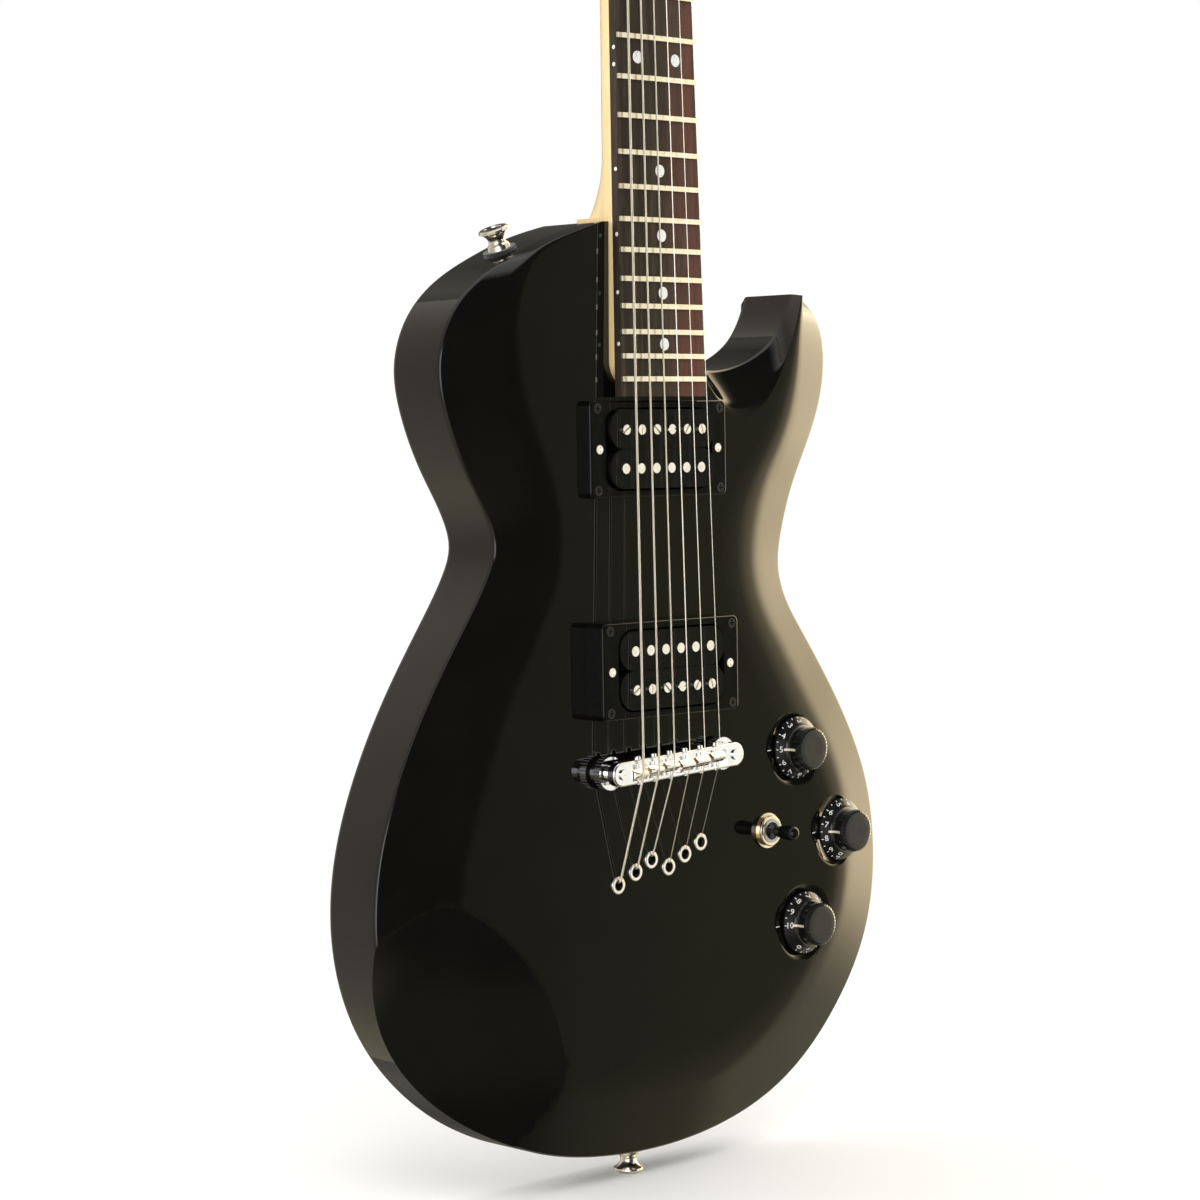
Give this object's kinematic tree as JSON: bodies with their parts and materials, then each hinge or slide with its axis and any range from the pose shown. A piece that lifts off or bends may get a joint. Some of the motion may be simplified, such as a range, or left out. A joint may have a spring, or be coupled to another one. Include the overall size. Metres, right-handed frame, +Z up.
{
  "type": "electric guitar",
  "caption": "Single-cutaway solid-body electric guitar, gloss black, with two open-coil pickups, fixed bridge with strings through the body, dished knob recesses and geared tuners.",
  "frame": {"origin": "centreline of the neck, on the flat front plateau of the body, at the bridge saddle line", "axes": "+X towards the treble side (right seen from the front), +Y from the front into the back of the body, +Z up along the strings towards the headstock"},
  "size_m": [0.335, 0.0809, 1.0231],
  "materials": {
    "gloss_black_lacquer": "polished gloss lacquer over wood",
    "maple": "satin clear coat",
    "rosewood": "oiled open grain",
    "fret_wire": "polished nickel silver",
    "pearl": "pearloid",
    "nut_bone": "bone white",
    "steel": "zinc plated",
    "chrome": "bright",
    "nickel": "warm bright nickel",
    "string_steel": "bright",
    "black_plastic": "semi-gloss",
    "black_matte": "satin",
    "felt": "felt",
    "brass_nickel": "polished",
    "wire_insulation": "vinyl"
  },
  "bodies": {
    "root": {"body_wood": "gloss_black_lacquer", "neck": "maple", "fingerboard": "rosewood", "fret_wires": "fret_wire", "fret_markers": "pearl", "nut": "nut_bone", "truss_rod": "steel", "truss_rod_cover": "black_plastic", "pickup_ring_neck": "black_plastic", "pickup_ring_bridge": "black_plastic", "pickup_height_screws": "nickel", "black_screws": "black_matte", "bridge_studs": "chrome", "bridge_thumbwheels": "chrome", "bridge_base": "chrome", "bridge_saddles": "nickel", "intonation_screws": "chrome", "top_ferrules": "nickel", "rear_ferrules": "nickel", "string_ball_ends": "brass_nickel", "wound_strings": "string_steel", "plain_strings": "string_steel", "pot_housings": "steel", "pot_nuts": "nickel", "switch_frame": "steel", "switch_bezel": "brass_nickel", "control_cover": "black_matte", "jack_plate": "chrome", "output_jack": "nickel", "strap_felts": "felt", "strap_buttons": "nickel", "tuner_housings": "chrome", "tuner_bushings": "chrome", "chrome_screws": "chrome", "truss_cover_screws": "nickel", "wiring": "wire_insulation"},
    "knob_volume_neck": {"knob_volume_neck": "black_plastic", "pot_shaft_volume_neck": "brass_nickel"},
    "knob_volume_bridge": {"knob_volume_bridge": "black_plastic", "pot_shaft_volume_bridge": "brass_nickel"},
    "knob_tone": {"knob_tone": "black_plastic", "pot_shaft_tone": "brass_nickel"},
    "selector": {"switch_lever": "nickel", "switch_tip": "black_plastic"},
    "pickup_neck": {"pickup_neck_bobbins": "black_plastic", "pickup_neck_poles": "nickel"},
    "pickup_bridge": {"pickup_bridge_bobbins": "black_plastic", "pickup_bridge_poles": "nickel"},
    "tuner_key_1": {"tuner_key_1": "chrome"},
    "tuner_post_1": {"tuner_post_1": "chrome"},
    "tuner_key_2": {"tuner_key_2": "chrome"},
    "tuner_post_2": {"tuner_post_2": "chrome"},
    "tuner_key_3": {"tuner_key_3": "chrome"},
    "tuner_post_3": {"tuner_post_3": "chrome"},
    "tuner_key_4": {"tuner_key_4": "chrome"},
    "tuner_post_4": {"tuner_post_4": "chrome"},
    "tuner_key_5": {"tuner_key_5": "chrome"},
    "tuner_post_5": {"tuner_post_5": "chrome"},
    "tuner_key_6": {"tuner_key_6": "chrome"},
    "tuner_post_6": {"tuner_post_6": "chrome"}
  },
  "joints": [
    {"name": "knob_volume_neck_turn", "type": "hinge", "parent": "root", "child": "knob_volume_neck", "pos_m": [0.0983, 0, -0.003], "axis": [0, 1, 0], "range_deg": [-150, 150]},
    {"name": "knob_volume_bridge_turn", "type": "hinge", "parent": "root", "child": "knob_volume_bridge", "pos_m": [0.1305, 0, -0.0474], "axis": [0, 1, 0], "range_deg": [-225, 75]},
    {"name": "knob_tone_turn", "type": "hinge", "parent": "root", "child": "knob_tone", "pos_m": [0.103, 0, -0.0922], "axis": [0, 1, 0], "range_deg": [-300, 0]},
    {"name": "selector_tilt", "type": "hinge", "parent": "root", "child": "selector", "pos_m": [0.0757, 0.003, -0.0427], "axis": [1, 0, 0], "range_deg": [-14, 14]},
    {"name": "pickup_neck_height", "type": "slide", "parent": "root", "child": "pickup_neck", "axis": [0, -1, 0], "range_m": [-0.003, 0.0015]},
    {"name": "pickup_bridge_height", "type": "slide", "parent": "root", "child": "pickup_bridge", "axis": [0, -1, 0], "range_m": [-0.003, 0.0015]},
    {"name": "tuner_key_1_turn", "type": "hinge", "parent": "root", "child": "tuner_key_1", "pos_m": [-0.0265, 0.03121, 0.68115], "axis": [-1, 0, 0], "continuous": true},
    {"name": "tuner_post_1_turn", "type": "hinge", "parent": "root", "child": "tuner_post_1", "pos_m": [-0.0265, 0.01517, 0.69321], "axis": [0, -0.9699, 0.2434], "continuous": true},
    {"name": "tuner_key_2_turn", "type": "hinge", "parent": "root", "child": "tuner_key_2", "pos_m": [-0.0275, 0.04095, 0.71994], "axis": [-1, 0, 0], "continuous": true},
    {"name": "tuner_post_2_turn", "type": "hinge", "parent": "root", "child": "tuner_post_2", "pos_m": [-0.0275, 0.02491, 0.73201], "axis": [0, -0.9699, 0.2434], "continuous": true},
    {"name": "tuner_key_3_turn", "type": "hinge", "parent": "root", "child": "tuner_key_3", "pos_m": [-0.0275, 0.05069, 0.75874], "axis": [-1, 0, 0], "continuous": true},
    {"name": "tuner_post_3_turn", "type": "hinge", "parent": "root", "child": "tuner_post_3", "pos_m": [-0.0275, 0.03464, 0.77081], "axis": [0, -0.9699, 0.2434], "continuous": true},
    {"name": "tuner_key_4_turn", "type": "hinge", "parent": "root", "child": "tuner_key_4", "pos_m": [0.0275, 0.05069, 0.75874], "axis": [1, 0, 0], "continuous": true},
    {"name": "tuner_post_4_turn", "type": "hinge", "parent": "root", "child": "tuner_post_4", "pos_m": [0.0275, 0.03464, 0.77081], "axis": [0, -0.9699, 0.2434], "continuous": true},
    {"name": "tuner_key_5_turn", "type": "hinge", "parent": "root", "child": "tuner_key_5", "pos_m": [0.0275, 0.04095, 0.71994], "axis": [1, 0, 0], "continuous": true},
    {"name": "tuner_post_5_turn", "type": "hinge", "parent": "root", "child": "tuner_post_5", "pos_m": [0.0275, 0.02491, 0.73201], "axis": [0, -0.9699, 0.2434], "continuous": true},
    {"name": "tuner_key_6_turn", "type": "hinge", "parent": "root", "child": "tuner_key_6", "pos_m": [0.0265, 0.03121, 0.68115], "axis": [1, 0, 0], "continuous": true},
    {"name": "tuner_post_6_turn", "type": "hinge", "parent": "root", "child": "tuner_post_6", "pos_m": [0.0265, 0.01517, 0.69321], "axis": [0, -0.9699, 0.2434], "continuous": true}
  ],
  "couplings": [
    {"joint": "tuner_post_1_turn", "follows": "tuner_key_1_turn", "ratio": 0.071429},
    {"joint": "tuner_post_2_turn", "follows": "tuner_key_2_turn", "ratio": 0.071429},
    {"joint": "tuner_post_3_turn", "follows": "tuner_key_3_turn", "ratio": 0.071429},
    {"joint": "tuner_post_4_turn", "follows": "tuner_key_4_turn", "ratio": 0.071429},
    {"joint": "tuner_post_5_turn", "follows": "tuner_key_5_turn", "ratio": 0.071429},
    {"joint": "tuner_post_6_turn", "follows": "tuner_key_6_turn", "ratio": 0.071429}
  ]
}
